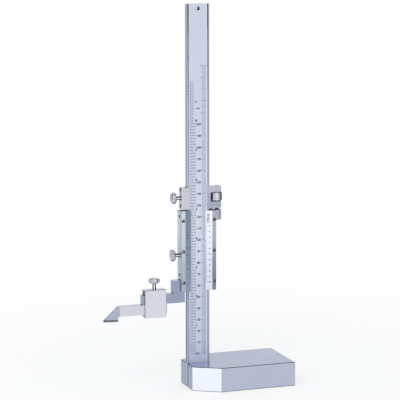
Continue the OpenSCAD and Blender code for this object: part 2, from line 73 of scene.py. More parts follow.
# Rims beside the scale face, painted dark as a reflection: how far out the left one, the right one's dark line and its
# end are
RIM_LEFT, RIM_RIGHT, RIM_RIGHT_END = 8.35 * MM, 8.1 * MM, 8.9 * MM
# Heights between which the painted light and shade on the mast change, each from where the tone starts to where it is
# full
FACE_BRIGHT = (75 * MM, 125 * MM)
RIMS_LOW = (125 * MM, 85 * MM)
RIMS_HIGH = (235 * MM, 290 * MM)
RIMS_TOP = (300 * MM, 318 * MM)

# Lock screws and adjusting screw
KNOB_R = 5.1 * MM
KNOB_H = 4.4 * MM
KNOB_HOLLOWS = 7
HOLLOW_R = 1.887 * MM
HOLLOW_OUT = 0.9 * MM
LOCK_R = 1.5 * MM
LOCK_PLAIN = 5.5 * MM
THREAD_PITCH = 0.5 * MM
THREAD_DEPTH = 0.26 * MM
RINGS_A_TURN = 8
SHAFT_SIDES = 40
KNOB_SIDES = 140
# The plain shaft runs this far into the thread, and three times as far into the knob
SHAFT_OVERLAP = 0.1 * MM

# Plate screws
PLATE_SCREW_HEAD_R = 1.5 * MM
PLATE_SCREW_RIM = 0.6 * MM
PLATE_SCREW_CROWN = 1 * MM
PLATE_SCREW_ROUND = 0.3 * MM
PLATE_SCREW_SHAFT_R = 0.8 * MM
PLATE_SLOT_W = 0.5 * MM
PLATE_SLOT_RISE = 0.5 * MM
PLATE_SCREW_TURNS = (15, 40, 65)
PLATE_SHAFT_OVERLAP = 0.05 * MM
PLATE_DISC_SIDES, PLATE_SHAFT_SIDES = 28, 16
# Half domes beside the slot: columns along it, and rows from it to the rim as shares of the way
DOME_COLUMNS = 12
DOME_ROWS = (0, 0.35, 0.65, 0.85, 1)
DOME_FROM_SLOT = 0.06 * MM
DOME_OVER_SLOT_FLOOR = 0.02 * MM
DOME_UNDERSIDE = 0.1 * MM
# Drop of the rounded rim, as a share of its width
DOME_ROUND_DROP = 0.6

# Painted shadow rings round the side screws, in their holes: out from and in from each screw's edge
RING_OUT, RING_IN = 0.3 * MM, 0.35 * MM

# Where the scriber's thinned nose ends, past its carbide tip
NOSE_PAST_TIP = 1.6 * MM

# Hole near the mast's top
HOLE_R = 1.4 * MM
HOLE_DROP = 4 * MM

# Lines are cut and inked: a thin raised line stands for the ink
LINE_W = 0.2 * MM
FINE_LINE_W = 0.09 * MM
LONG_LINE_W = 0.32 * MM
LINE_H = 0.03 * MM
# How far the strokes of numbers are widened, as a share of their height
TEXT_BOLD = 0.04
# Height of the capitals and numbers of Blender's own font, as a share of its size
FONT_H = 0.69

# Vernier plates
PLATE_FLAT_W = 3.6 * MM
PLATE_EDGE_T = 0.35 * MM
METRIC_DIVISION = 0.98 * MM
METRIC_DIVISIONS = 50
INCH_DIVISION = 0.049 * INCH
INCH_DIVISIONS = 25
NUMBER_EVERY = 5
VERNIER_SHORT, VERNIER_LONG = 1.5 * MM, 2.3 * MM
VERNIER_LINE_IN = 0.05 * MM
VERNIER_NUMBER_H = 1.5 * MM

# ---------------------------------------------------------------- measures taken from the frame

mast_low, mast_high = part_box("mast")
mast_x = (mast_low.x + mast_high.x) / 2
face_y = mast_low.y + FACE_DEPTH
metric_low, metric_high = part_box("metric_plate")
inch_low, inch_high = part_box("inch_plate")
tip_low, tip_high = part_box("carbide_tip")
slider_low_z = metric_low.z
vernier_zero_z = slider_low_z + VERNIER_ZERO_RISE
# The scales start where the vernier's zero shows the height of the scriber's tip
scale_zero_z = vernier_zero_z - tip_low.z
base_top_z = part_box("base")[1].z
slider_top_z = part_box("slider_frame")[1].z
clamp_high_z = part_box("clamp_block")[1].z
nut_x = sum(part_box("adjusting_nut"), Vector()).x / 2
box_front_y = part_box("scriber_box")[0].y
nose_x = tip_high.x + NOSE_PAST_TIP


# ---------------------------------------------------------------- node helpers

def link(tree, a, b):
    tree.links.new(a, b)


def feed(tree, value, socket):
    """Links a socket's value to another socket, or sets a plain value on it."""
    if isinstance(value, bpy.types.NodeSocket):
        link(tree, value, socket)
    else:
        socket.default_value = value


def group_tree(name, kind, inputs, outputs):
    """A node group with named inputs and outputs, each with its kind of socket."""
    tree = bpy.data.node_groups.new(name, kind)
    for in_out, sockets in (("INPUT", inputs), ("OUTPUT", outputs)):
        for label, socket in sockets.items():
            tree.interface.new_socket(name=label, in_out=in_out, socket_type="NodeSocket" + socket)
    return tree, tree.nodes.new("NodeGroupInput"), tree.nodes.new("NodeGroupOutput")


def math_node(tree, operation, a, b=None, clamp=False):
    n = tree.nodes.new("ShaderNodeMath")
    n.operation = operation
    n.use_clamp = clamp
    feed(tree, a, n.inputs[0])
    if b is not None:
        feed(tree, b, n.inputs[1])
    return n.outputs[0]


def map_range(tree, value, low, high, to_low=0.0, to_high=1.0, smooth=True):
    n = tree.nodes.new("ShaderNodeMapRange")
    n.interpolation_type = "SMOOTHSTEP" if smooth else "LINEAR"
    for label, v in (("Value", value), ("From Min", low), ("From Max", high), ("To Min", to_low), ("To Max", to_high)):
        feed(tree, v, n.inputs[label])
    return n.outputs["Result"]


def mix_color(tree, factor, a, b):
    n = tree.nodes.new("ShaderNodeMix")
    n.data_type = "RGBA"
    for i, v in ((0, factor), (6, a), (7, b)):
        feed(tree, (*v, 1) if isinstance(v, tuple) else v, n.inputs[i])
    return n.outputs[2]


def noise(tree, place, scale, detail, roughness=0.5):
    n = tree.nodes.new("ShaderNodeTexNoise")
    for label, v in (("Vector", place), ("Scale", scale), ("Detail", detail), ("Roughness", roughness)):
        feed(tree, v, n.inputs[label])
    return n.outputs["Fac"]


def object_place(tree):
    """A place in the piece's own coordinates."""
    return tree.nodes.new("ShaderNodeTexCoord").outputs["Object"]


def vector_math(tree, operation, a, b=(0, 0, 0)):
    n = tree.nodes.new("ShaderNodeVectorMath")
    n.operation = operation
    feed(tree, a, n.inputs[0])
    feed(tree, b, n.inputs[1])
    return n.outputs["Value" if operation in ("DOT_PRODUCT", "DISTANCE", "LENGTH") else "Vector"]


def placed_group(tree, group, **values):
    """A shared effect in a material's tree, with its own values."""
    n = tree.nodes.new("ShaderNodeGroup")
    n.node_tree = group
    for label, value in values.items():
        n.inputs[label].default_value = value
    return n


# ---------------------------------------------------------------- effects shared by the finishes

# How fine the patches along the edges, partly worn and partly with a painted highlight, and the specks are
EDGE_PATCH_SCALE, SPECK_SCALE = 220, 900
# Size of the handled patches on metal and of the worn ones in ink
PATCH, INK_PATCH = 30 * MM, 4 * MM
# How far a recess's walls may be apart, and how open a fully shaded and an unshaded place are, for the shade painted in
# recesses
RECESS_REACH = 2 * MM
RECESS_SHUT, RECESS_OPEN = 0.3, 0.75


def make_edge_group():
    """Finds the edges: Mask is 1 on them, where they are painted bright, partly for wear and partly as a painted
    highlight, and Normal is the surface's with its edges rounded.
    """
    tree, gin, gout = group_tree(
        "rounded_edges", "ShaderNodeTree",
        {"Radius": "Float", "Wear": "Float"}, {"Mask": "Float", "Normal": "Vector"})
    bevel = tree.nodes.new("ShaderNodeBevel")
    bevel.samples = 4
    link(tree, gin.outputs["Radius"], bevel.inputs["Radius"])
    flat = tree.nodes.new("ShaderNodeNewGeometry")
    turned = math_node(tree, "SUBTRACT", 1.0,
                       vector_math(tree, "DOT_PRODUCT", bevel.outputs["Normal"], flat.outputs["Normal"]))
    patchy = map_range(tree, noise(tree, object_place(tree), EDGE_PATCH_SCALE, 3), 0.3, 0.7)
    mask = map_range(tree, turned, 0.02, 0.2)
    # The edges are painted bright, partly for wear and partly as a painted highlight
    worn = math_node(tree, "MULTIPLY", mask, gin.outputs["Wear"])
    link(tree, math_node(tree, "MULTIPLY", worn, patchy, clamp=True), gout.inputs["Mask"])
    link(tree, bevel.outputs["Normal"], gout.inputs["Normal"])
    return tree


def make_grain_group():
    """Fine parallel grinding marks. Stretch is larger across the marks than along them."""
    tree, gin, gout = group_tree("grinding_marks", "ShaderNodeTree", {"Stretch": "Vector"}, {"Marks": "Float"})
    stretched = vector_math(tree, "MULTIPLY", object_place(tree), gin.outputs["Stretch"])
    link(tree, noise(tree, stretched, 1, 5, 0.65), gout.inputs["Marks"])
    return tree


def make_handling_group():
    """Broad, soft patches where hands and oil have changed the sheen, and small specks."""
    tree, gin, gout = group_tree(
        "handling", "ShaderNodeTree", {"Size": "Float"}, {"Patches": "Float", "Specks": "Float"})
    place = object_place(tree)
    broad = noise(tree, place, math_node(tree, "DIVIDE", 1.0, gin.outputs["Size"]), 4)
    link(tree, map_range(tree, broad, 0.35, 0.65), gout.inputs["Patches"])
    link(tree, map_range(tree, noise(tree, place, SPECK_SCALE, 2), 0.62, 0.75), gout.inputs["Specks"])
    return tree


def make_recess_group():
    """Mask is 1 deep in gaps, slots and corners, where shade is painted."""
    tree, _, gout = group_tree("recesses", "ShaderNodeTree", {}, {"Mask": "Float"})
    shade = tree.nodes.new("ShaderNodeAmbientOcclusion")
    shade.samples = 6
    shade.inputs["Distance"].default_value = RECESS_REACH
    link(tree, map_range(tree, shade.outputs["AO"], RECESS_SHUT, RECESS_OPEN, 1.0, 0.0), gout.inputs["Mask"])
    return tree


EDGES = make_edge_group()
RECESSES = make_recess_group()
GRAIN = make_grain_group()
HANDLING = make_handling_group()

# Stretch of the marks for each way of grinding
ALONG_X = (150, 5200, 5200)
ALONG_Z = (5200, 5200, 120)
EVEN = (5200, 5200, 5200)

# Colour of the shade painted into gaps, slots and corners
PAINTED_RECESS_SHADE = (0.018, 0.024, 0.042)
# Colour of the bright edges: partly wear, partly a painted highlight
WORN_EDGE_AND_HIGHLIGHT = (0.86, 0.88, 0.93)
# How much rougher the handled patches and specks are
HANDLED = 0.06


def metal(name, color, roughness, marks=ALONG_Z, bump=0.05, edge=0.3 * MM, edge_color=WORN_EDGE_AND_HIGHLIGHT, wear_and_highlight=0.5,
          tint=0.06, recess=0.0, glancing=1.0, zones=()):
    """A metal finish: grinding marks in colour, roughness and height, soft patches, and bright edges, partly wear and
    partly a painted highlight.

    zones are tones painted on parts of the surface, most of them painted light, shade and reflections, each (part,
    colour, roughness), and tint is how much the marks darken and lighten each colour. recess is how far painted shade
    darkens the gaps and corners, and glancing tones what is seen at a low angle."""
    m = bpy.data.materials.new(name)
    m.use_nodes = True
    tree = m.node_tree
    shader = tree.nodes["Principled BSDF"]
    grain = placed_group(tree, GRAIN, Stretch=marks).outputs["Marks"]
    hands = placed_group(tree, HANDLING, Size=PATCH)
    edges = placed_group(tree, EDGES, Radius=edge, Wear=wear_and_highlight)

    def ground(tone):
        dark = tuple(c * (1 - tint) for c in tone)
        light = tuple(min(1, c * (1 + tint)) for c in tone)
        return mix_color(tree, grain, dark, light)

    base = ground(color)
    rough = map_range(tree, grain, 0, 1, roughness * 0.85, roughness * 1.15, smooth=False)
    # Zones paint tones on parts of the surface, most of them painted light, shade and reflections
    for part, zone_color, zone_roughness in zones:
        mask = part(tree)
        base = mix_color(tree, mask, base, ground(zone_color))
        keep = math_node(tree, "MULTIPLY", rough, math_node(tree, "SUBTRACT", 1.0, mask))
        rough = math_node(tree, "ADD", keep, math_node(tree, "MULTIPLY", mask, zone_roughness))
    # Edges painted bright, partly for wear and partly as a painted highlight
    base = mix_color(tree, edges.outputs["Mask"], base, edge_color)
    # Shade painted into gaps, slots and corners
    if recess:
        gaps = placed_group(tree, RECESSES).outputs["Mask"]
        base = mix_color(tree, math_node(tree, "MULTIPLY", gaps, recess), base, PAINTED_RECESS_SHADE)
    for label in ("Patches", "Specks"):
        rough = math_node(tree, "ADD", rough, math_node(tree, "MULTIPLY", hands.outputs[label], HANDLED))
    link(tree, base, shader.inputs["Base Color"])
    link(tree, rough, shader.inputs["Roughness"])
    shader.inputs["Metallic"].default_value = 1.0
    shader.inputs["Specular Tint"].default_value = (glancing, glancing, glancing, 1)
    height = tree.nodes.new("ShaderNodeBump")
    height.inputs["Strength"].default_value = bump
    height.inputs["Distance"].default_value = 0.05 * MM
    link(tree, grain, height.inputs["Height"])
    link(tree, edges.outputs["Normal"], height.inputs["Normal"])
    link(tree, height.outputs["Normal"], shader.inputs["Normal"])
    return m


# ---------------------------------------------------------------- parts of the surfaces with painted tones, most of them painted light, shade and reflections

# A part is a function that adds its mask to a material's tree: 1 on the part and 0 elsewhere.

LEFT_SIDE, FRONT_SIDE, TOP_SIDE = (-1, 0, 0), (0, -1, 0), (0, 0, 1)
SHARP = 0.1 * MM


def along(axis, start, end):
    """Past a place along an axis of the piece's own coordinates: 0 before start and 1 from end on."""
    def mask(tree):
        split = tree.nodes.new("ShaderNodeSeparateXYZ")
        link(tree, object_place(tree), split.inputs[0])
        if start < end:
            return map_range(tree, split.outputs[axis], start, end)
        return map_range(tree, split.outputs[axis], end, start, 1.0, 0.0)
    return mask


def faces(direction, start=0.9, end=0.96):
    """The faces that look along a direction, where the cosine of the angle to it grows from start to end."""
    def mask(tree):
        normal = tree.nodes.new("ShaderNodeNewGeometry").outputs["Normal"]
        return map_range(tree, vector_math(tree, "DOT_PRODUCT", normal, direction), start, end)
    return mask


def near(centre, plane, start, end):
    """Round a centre: 1 closer to it than start and 0 from end on. plane is 1 for the axes that count."""
    def mask(tree):
        flat = vector_math(tree, "MULTIPLY", object_place(tree), plane)
        return map_range(tree, vector_math(tree, "DISTANCE", flat, centre), start, end, 1.0, 0.0)
    return mask


def combined(operation, parts):
    def mask(tree):
        value = parts[0](tree)
        for part in parts[1:]:
            value = math_node(tree, operation, value, part(tree))
        return value
    return mask


def where(*parts):
    """Where all of these parts overlap."""
    return combined("MULTIPLY", parts)


def either(*parts):
    return combined("MAXIMUM", parts)


def outside(part):
    return lambda tree: math_node(tree, "SUBTRACT", 1.0, part(tree))


def side_rings(node):
    """Painted shadow rings round the edges of a node's two side screws, one at each end of its box."""
    low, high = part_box(node)
    radius = (high.y - low.y) / 2
    outer, inner = radius + RING_OUT, radius - RING_IN
    rings = []
    for z in (low.z + radius, high.z - radius):
        centre, plane = (0, (low.y + high.y) / 2, z), (0, 1, 1)
        rings.append(where(near(centre, plane, outer - SHARP, outer + SHARP),
                           outside(near(centre, plane, inner - SHARP, inner + SHARP))))
    return where(either(*rings), along("X", mast_x, mast_x - 1 * MM))


# Mast
# Painted dark reflections in the rims beside the scale face, painted darker low down, high up and darkest at the top,
# and a painted tone on the right front edge
mast_rims = either(
    where(along("X", mast_x - RIM_LEFT + SHARP, mast_x - RIM_LEFT), faces(FRONT_SIDE)),
    where(along("X", mast_x + RIM_RIGHT - SHARP, mast_x + RIM_RIGHT), faces(FRONT_SIDE, 0.5, 0.6)))
mast_rims_low = where(mast_rims, along("Z", *RIMS_LOW))
mast_rims_high = where(mast_rims, along("Z", *RIMS_HIGH))
mast_rims_top = where(mast_rims, along("Z", *RIMS_TOP))
mast_right_edge = where(along("X", mast_x + RIM_RIGHT_END - SHARP, mast_x + RIM_RIGHT_END), faces(FRONT_SIDE))
# Painted light: the scale face brighter from partway up
mast_upper_face = where(along("Z", *FACE_BRIGHT), faces(FRONT_SIDE))
# The small slope between the left rim and the scale face, with a painted highlight
mast_left_step = where(along("X", mast_x - FACE_HALF_W + SHARP, mast_x - FACE_HALF_W),
                       faces((0.707, -0.707, 0), 0.8, 0.95))
mast_back = along("Y", face_y + 0.2 * MM, face_y + 0.4 * MM)
# Painted shade on the mast's left side: darker strips at its back and its front, and darker low down
mast_side_back = where(faces(LEFT_SIDE), along("Y", mast_high.y - 2.6 * MM, mast_high.y - 1.8 * MM))
mast_side_front = where(faces(LEFT_SIDE), along("Y", 0.6 * MM, -1.6 * MM))
mast_side_low = where(faces(LEFT_SIDE), along("Z", *RIMS_LOW))
# Painted shade on the hole's wall and a thin ring round it
hole_wall = near((mast_x, 0, mast_high.z - HOLE_DROP), (1, 0, 1), HOLE_R + 0.2 * MM, HOLE_R + 0.3 * MM)
# Below the base's top only the mast's side shows, in the base's end; there the mast is painted dark as shade, and its
# side a shaded tone
mast_foot = along("Z", base_top_z + 0.1 * MM, base_top_z - 0.2 * MM)
mast_foot_side = where(mast_foot, faces(LEFT_SIDE))

# Base
# Painted reflections: the base's slanted sides lighter and its bevels dark
base_slants = either(faces((-0.525, -0.851, 0)), faces((-0.525, 0.851, 0)))
base_bevels = where(faces(TOP_SIDE, 0.35, 0.5), outside(faces(TOP_SIDE, 0.85, 0.95)))

# Slider and its plates
below_body = along("Z", slider_low_z + 12 * MM, slider_low_z + 9 * MM)
jaw_front = where(faces(FRONT_SIDE), below_body)
# Painted shade: the left sides below the slider's body and its lower left side darker
arm_sides = where(faces(LEFT_SIDE), below_body)
slider_low_side = where(faces(LEFT_SIDE), along("Z", slider_low_z + 55 * MM, slider_low_z + 33 * MM))
# Painted shadow: the slider's top, in the gap under the clamp block, nearly black
slider_top = where(faces(TOP_SIDE), along("Z", slider_top_z - 0.2 * MM, slider_top_z - 0.1 * MM))
# Painted shadow rings round the slider's side screws
slider_gib_rings = side_rings("slider_gib_screws")
lug_front = along("X", metric_high.x + 0.02 * MM, metric_high.x + 0.1 * MM)
# Painted light on the vernier plates: darker lower down, and their flats a painted tone apart from their slopes
plate_low_part = along("Z", slider_low_z + 55 * MM, slider_low_z + 10 * MM)
plate_flat = faces(FRONT_SIDE, 0.96, 0.98)
plate_flat_low = where(plate_flat, plate_low_part)

# Clamp block and nut
# Painted shade on the clamp block's rounded right end, lighter near its top
clamp_right = where(faces(FRONT_SIDE, 0.3, 0.6), along("X", mast_x, mast_x + 1 * MM))
clamp_right_top = where(clamp_right, along("Z", clamp_high_z - 8 * MM, clamp_high_z - 3 * MM))
# Painted shadow rings round the clamp block's side screws
clamp_gib_rings = side_rings("clamp_gib_screws")
# Painted dark reflection on the adjusting nut's right side
nut_right = along("X", nut_x - 1.2 * MM, nut_x + 3 * MM)

# The narrow band along a shaft, level or upright, where a highlight is painted on the dark shaft, and the lit and
# shaded sides of a domed screw head
level_shaft_front = faces(FRONT_SIDE, 0.92, 0.98)
upright_shaft_front = faces((-0.334, -0.943, 0), 0.92, 0.98)
dome_low_side = faces((0.5, -0.7, -0.5), 0.86, 0.93)
dome_high_side = faces((-0.4, -0.8, 0.45), 0.955, 0.985)

# Scriber clamp and scriber
# Painted shade and highlights on the scriber clamp's box: a dark front strip on its left side, a dark line along its
# top front edge, a bright left bevel and a dark right bevel
box_side_front = where(faces(LEFT_SIDE), along("Y", box_front_y + 2.6 * MM, box_front_y + 1.6 * MM))
box_top_front = where(along("Y", box_front_y + 1.8 * MM, box_front_y + 1.4 * MM), faces(TOP_SIDE, 0.3, 0.5))
left_bevel = faces((-0.707, -0.707, 0), 0.9, 0.95)
right_bevel = faces((0.707, -0.707, 0), 0.9, 0.95)
nose_slope = faces((-0.6, 0, 0.8))
# The thinned nose of the scriber, left of the straight part of its bar
nose_face = along("X", nose_x + SHARP, nose_x - SHARP)


# ---------------------------------------------------------------- finishes

# Colour of the painted shadow rings round the side screws
RING_TONE = (0.012, 0.018, 0.035)
# Shafts painted dark as shade and reflection, with a painted highlight band along their front
DARK_SHAFT, BRIGHT_SHAFT = (0.010, 0.016, 0.034), (0.93, 0.94, 0.97)
DOME_SHADE = (0.008, 0.008, 0.01)

satin_mast = metal("satin_mast", (0.64, 0.685, 0.82), 0.46, bump=0.02, tint=0.04, wear_and_highlight=0.3, zones=[
    (mast_upper_face, (0.745, 0.79, 0.92), 0.46),
    (mast_rims, (0.36, 0.39, 0.49), 0.3),
    (mast_rims_low, (0.29, 0.325, 0.43), 0.3),
    (mast_rims_high, (0.21, 0.235, 0.325), 0.3),
    (mast_rims_top, (0.05, 0.06, 0.11), 0.3),
    (mast_right_edge, (0.42, 0.46, 0.565), 0.3),
    (mast_side_back, (0.42, 0.46, 0.57), 0.3),
    (mast_left_step, (0.97, 0.98, 1.0), 0.8),
    (mast_back, (0.60, 0.64, 0.76), 0.34),
    (mast_side_front, (0.33, 0.37, 0.46), 0.3),
    (mast_side_low, (0.175, 0.205, 0.29), 0.3),
    (hole_wall, (0.012, 0.016, 0.03), 0.5),
    (mast_foot, (0.03, 0.035, 0.05), 0.5),
    (mast_foot_side, (0.42, 0.46, 0.57), 0.34)])
# The base's slanted sides are painted lighter as reflections, its left side and top darker, and its bevels dark
base_steel = metal("base_steel", (0.505, 0.54, 0.655), 0.3, marks=ALONG_X, recess=0.9, zones=[
    (base_slants, (0.84, 0.87, 0.94), 0.36),
    (faces(LEFT_SIDE), (0.365, 0.405, 0.52), 0.34),
    (faces(TOP_SIDE), (0.45, 0.50, 0.655), 0.2),
    (base_bevels, (0.11, 0.125, 0.19), 0.25)])
slider_steel = metal("slider_steel", (0.61, 0.66, 0.76), 0.3, recess=0.85, zones=[
    (jaw_front, (0.345, 0.40, 0.53), 0.33),
    (slider_low_side, (0.50, 0.55, 0.67), 0.33),
    (arm_sides, (0.325, 0.37, 0.49), 0.33),
    (lug_front, (0.47, 0.505, 0.615), 0.33),
    (slider_top, (0.012, 0.016, 0.028), 0.5),
    (slider_gib_rings, RING_TONE, 0.5)])
# The clamp block's right end and left side are painted darker as shade
clamp_steel = metal("clamp_steel", (0.67, 0.685, 0.765), 0.38, marks=ALONG_X, recess=0.9, zones=[
    (clamp_right, (0.445, 0.48, 0.59), 0.36),
    (clamp_right_top, (0.57, 0.605, 0.70), 0.36),
    (faces(LEFT_SIDE), (0.52, 0.555, 0.65), 0.36),
    (clamp_gib_rings, RING_TONE, 0.5)])
# The plates' zones are painted light and reflections, changing with height and facing
metric_steel = metal("metric_steel", (0.84, 0.87, 0.95), 0.34, bump=0.03, tint=0.04, recess=0.6, zones=[
    (plate_low_part, (0.67, 0.715, 0.83), 0.34),
    (plate_flat, (0.485, 0.515, 0.61), 0.34),
    (plate_flat_low, (0.24, 0.26, 0.335), 0.34)])
inch_steel = metal("inch_steel", (0.36, 0.445, 0.575), 0.34, bump=0.03, tint=0.04, recess=0.6, zones=[
    (plate_flat, (0.72, 0.75, 0.835), 0.34),
    (plate_flat_low, (0.47, 0.51, 0.61), 0.34)])
# The scriber bar's left side is painted darker as shade
scriber_steel = metal("scriber_steel", (0.70, 0.72, 0.80), 0.36, marks=ALONG_X, recess=0.85, zones=[
    (faces(LEFT_SIDE), (0.42, 0.46, 0.57), 0.36),
    (nose_face, (0.44, 0.475, 0.59), 0.36),
    (nose_slope, (0.50, 0.56, 0.72), 0.36)])
# The box's left side is painted darker and its top lighter, as light falls on them
box_steel = metal("box_steel", (0.735, 0.755, 0.835), 0.36, marks=ALONG_X, recess=0.85, zones=[
    (faces(LEFT_SIDE), (0.40, 0.42, 0.50), 0.36),
    (box_side_front, (0.06, 0.068, 0.10), 0.36),
    (faces(TOP_SIDE), (0.80, 0.84, 0.95), 0.36),
    (box_top_front, (0.09, 0.105, 0.16), 0.4),
    (left_bevel, (0.97, 0.98, 1.0), 0.36),
    (right_bevel, (0.30, 0.32, 0.38), 0.36)])
polished_steel = metal("polished_steel", (0.48, 0.51, 0.585), 0.19, marks=EVEN, bump=0.02, edge=0.4 * MM,
                       tint=0.03, recess=0.8)
level_shaft_steel, upright_shaft_steel = (
    metal(name, DARK_SHAFT, 0.14, marks=EVEN, bump=0.01, edge=0.1 * MM, wear_and_highlight=0.1, tint=0.02, glancing=0.05,
          zones=[(front, BRIGHT_SHAFT, 0.12)])
    for name, front in (("level_shaft_steel", level_shaft_front), ("upright_shaft_steel", upright_shaft_front)))
thread_steel = metal("thread_steel", (0.34, 0.36, 0.41), 0.18, marks=EVEN, bump=0.02, edge=0.1 * MM, tint=0.03,
                     recess=0.9)
nut_steel = metal("nut_steel", (0.72, 0.74, 0.80), 0.28, marks=ALONG_X, bump=0.04, recess=0.2, zones=[
    (nut_right, (0.13, 0.155, 0.21), 0.3)])
browned_steel = metal("browned_steel", (0.105, 0.098, 0.10), 0.16, marks=EVEN, edge=0.1 * MM,
                      edge_color=(0.55, 0.48, 0.42), recess=1.0, zones=[
                          (dome_low_side, DOME_SHADE, 0.3), (dome_high_side, (0.80, 0.77, 0.74), 0.2)])
dark_screw_steel = metal("dark_screw_steel", (0.13, 0.115, 0.11), 0.16, marks=EVEN, edge=0.1 * MM,
                         edge_color=(0.35, 0.32, 0.30), recess=1.0, zones=[
                             (dome_low_side, DOME_SHADE, 0.3), (dome_high_side, (0.40, 0.37, 0.35), 0.2)])
black_steel = metal("black_steel", (0.05, 0.05, 0.055), 0.45, marks=EVEN, edge_color=(0.3, 0.3, 0.31))
side_screw_steel = metal("side_screw_steel", (0.62, 0.66, 0.76), 0.3, marks=EVEN, bump=0.03, zones=[
    (slider_gib_rings, RING_TONE, 0.5), (clamp_gib_rings, RING_TONE, 0.5)])
bronze = metal("bronze", (0.46, 0.28, 0.175), 0.3, marks=ALONG_X, edge_color=(0.9, 0.7, 0.5), recess=0.9)
carbide = metal("carbide", (0.145, 0.167, 0.225), 0.36, marks=EVEN, bump=0.06, edge_color=(0.6, 0.62, 0.66))


def make_ink(name, full, worn):
    """Ink in the cut lines and numbers, thinner in places."""
    m = bpy.data.materials.new(name)
    m.use_nodes = True
    tree = m.node_tree
    shader = tree.nodes["Principled BSDF"]
    patches = placed_group(tree, HANDLING, Size=INK_PATCH).outputs["Patches"]
    link(tree, mix_color(tree, patches, full, worn), shader.inputs["Base Color"])
    link(tree, map_range(tree, patches, 0, 1, 0.5, 0.7), shader.inputs["Roughness"])
    return m


line_ink = make_ink("line_ink", (0.05, 0.07, 0.14), (0.10, 0.125, 0.21))
number_ink = make_ink("number_ink", (0.010, 0.014, 0.03), (0.02, 0.026, 0.05))

FINISH = {
    "base": base_steel, "mast": satin_mast, "mast_screws": black_steel,
    "slider_frame": slider_steel, "metric_plate": metric_steel, "inch_plate": inch_steel,
    "metric_plate_screws": browned_steel, "inch_plate_screws": browned_steel,
    "slider_gib": bronze, "slider_gib_screws": side_screw_steel,
    "slider_lock_pad": bronze, "slider_lock_screw": polished_steel,
    "fine_screw": thread_steel, "fine_screw_pin": browned_steel,
    "clamp_block": clamp_steel, "clamp_gib": bronze, "clamp_gib_screws": side_screw_steel,
    "clamp_lock_pad": bronze, "clamp_lock_screw": polished_steel, "adjusting_nut": nut_steel,
    "scriber_box": box_steel, "pressure_shoe": bronze, "scriber_lock_screw": polished_steel,
    "scriber_bar": scriber_steel, "carbide_tip": carbide}
for name, finish in FINISH.items():
    mesh = nodes[name].data
    mesh.materials.clear()
    mesh.materials.append(finish)


# ---------------------------------------------------------------- repeated lines and threads

def painted(tree, geometry, gin, gout):
    """Sends geometry out as one real mesh with the Material input on it."""
    real = tree.nodes.new("GeometryNodeRealizeInstances")
    link(tree, geometry, real.inputs["Geometry"])
    paint = tree.nodes.new("GeometryNodeSetMaterial")
    link(tree, real.outputs["Geometry"], paint.inputs["Geometry"])
    link(tree, gin.outputs["Material"], paint.inputs["Material"])
    link(tree, paint.outputs["Geometry"], gout.inputs["Geometry"])


def make_ruling_tree():
    """Lines along +Z from the origin, each a thin bar that starts at X = 0 and runs along +X.

    Every Mid Every-th line has the middle length, and every Long Every-th the full length."""
    tree, gin, gout = group_tree(
        "ruling", "GeometryNodeTree",
        {"Count": "Int", "Spacing": "Float", "Short": "Float", "Mid": "Float", "Long": "Float", "Mid Every": "Int",
         "Long Every": "Int", "Width": "Float", "Long Width": "Float", "Thickness": "Float", "Material": "Material"},
        {"Geometry": "Geometry"})
    line = tree.nodes.new("GeometryNodeMeshLine")
    step = tree.nodes.new("ShaderNodeCombineXYZ")
    link(tree, gin.outputs["Count"], line.inputs["Count"])
    link(tree, gin.outputs["Spacing"], step.inputs["Z"])
    link(tree, step.outputs[0], line.inputs["Offset"])
    index = tree.nodes.new("GeometryNodeInputIndex")

    def falls_on(every):
        left = math_node(tree, "MODULO", index.outputs[0], every)
        return math_node(tree, "LESS_THAN", left, 0.5)

    def blend(mask, a, b):
        n = tree.nodes.new("ShaderNodeMix")
        link(tree, mask, n.inputs[0])
        link(tree, a, n.inputs[2])
        link(tree, b, n.inputs[3])
        return n.outputs[0]

    long_ones = falls_on(gin.outputs["Long Every"])
    length = blend(falls_on(gin.outputs["Mid Every"]), gin.outputs["Short"], gin.outputs["Mid"])
    length = blend(long_ones, length, gin.outputs["Long"])
    width = blend(long_ones, gin.outputs["Width"], gin.outputs["Long Width"])
    size = tree.nodes.new("ShaderNodeCombineXYZ")
    link(tree, length, size.inputs["X"])
    link(tree, gin.outputs["Thickness"], size.inputs["Y"])
    link(tree, width, size.inputs["Z"])
    bar = tree.nodes.new("GeometryNodeMeshCube")
    bar.inputs["Size"].default_value = (1, 1, 1)
    moved = tree.nodes.new("GeometryNodeTransform")
    moved.inputs["Translation"].default_value = (0.5, 0, 0)
    link(tree, bar.outputs["Mesh"], moved.inputs["Geometry"])
    put = tree.nodes.new("GeometryNodeInstanceOnPoints")
    link(tree, line.outputs["Mesh"], put.inputs["Points"])
    link(tree, moved.outputs["Geometry"], put.inputs["Instance"])
    link(tree, size.outputs[0], put.inputs["Scale"])
    painted(tree, put.outputs["Instances"], gin, gout)
    return tree


